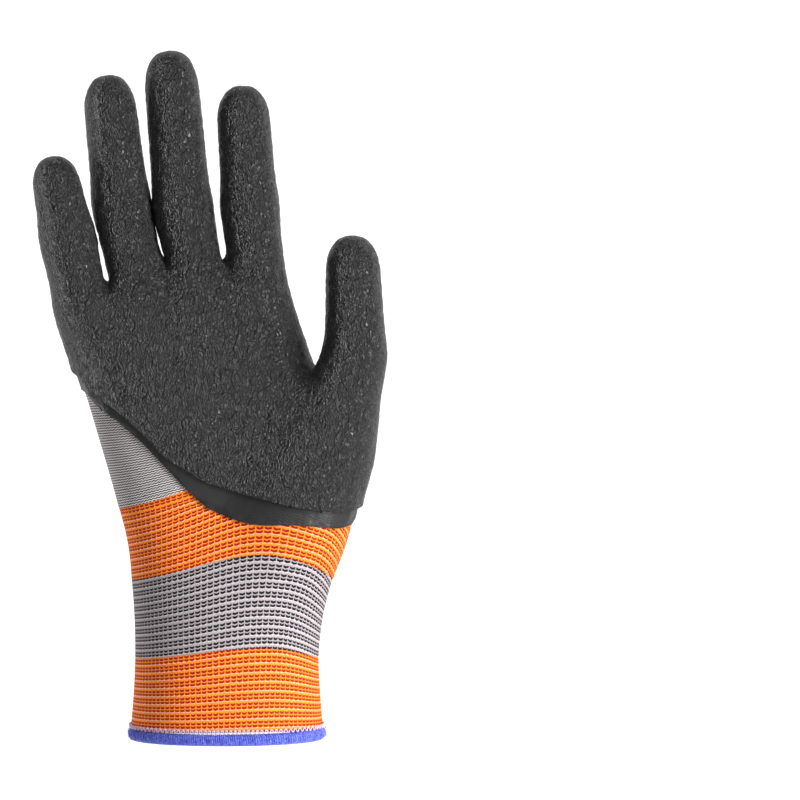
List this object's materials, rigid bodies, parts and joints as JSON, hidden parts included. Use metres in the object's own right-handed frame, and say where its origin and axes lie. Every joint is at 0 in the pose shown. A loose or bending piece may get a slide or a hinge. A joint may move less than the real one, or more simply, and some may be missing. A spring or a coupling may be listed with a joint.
{
  "type": "latex coated grip glove",
  "caption": "Knitted work glove for a right hand with a ribbed cuff in orange and grey bands, dipped in black crinkled latex over the palm, fingers and knuckles, filled out as worn.",
  "frame": {"origin": "centre of the mouth of the cuff, in the plane of the hem's edge, where the wrist goes in", "axes": "+Z from the mouth towards the fingertips, the palm faces -Y, +X towards the thumb"},
  "size_m": [0.1239, 0.0491, 0.241],
  "materials": {
    "hem_yarn": "fuzzy overlocked yarn",
    "orange_yarn": "knitted nylon with white elastic courses",
    "grey_yarn": "knitted nylon, pale grey with dark gaps",
    "smooth_latex": "smooth, semi-gloss",
    "grip_latex": "fine crinkle, satin"
  },
  "bodies": {
    "root": {"cuff_hem": "hem_yarn", "cuff_band_lower": "orange_yarn", "cuff_band_middle": "grey_yarn", "cuff_band_upper": "orange_yarn", "knit_hand": "grey_yarn", "latex_base_coat": "smooth_latex", "latex_grip_coat": "grip_latex"}
  },
  "joints": []
}
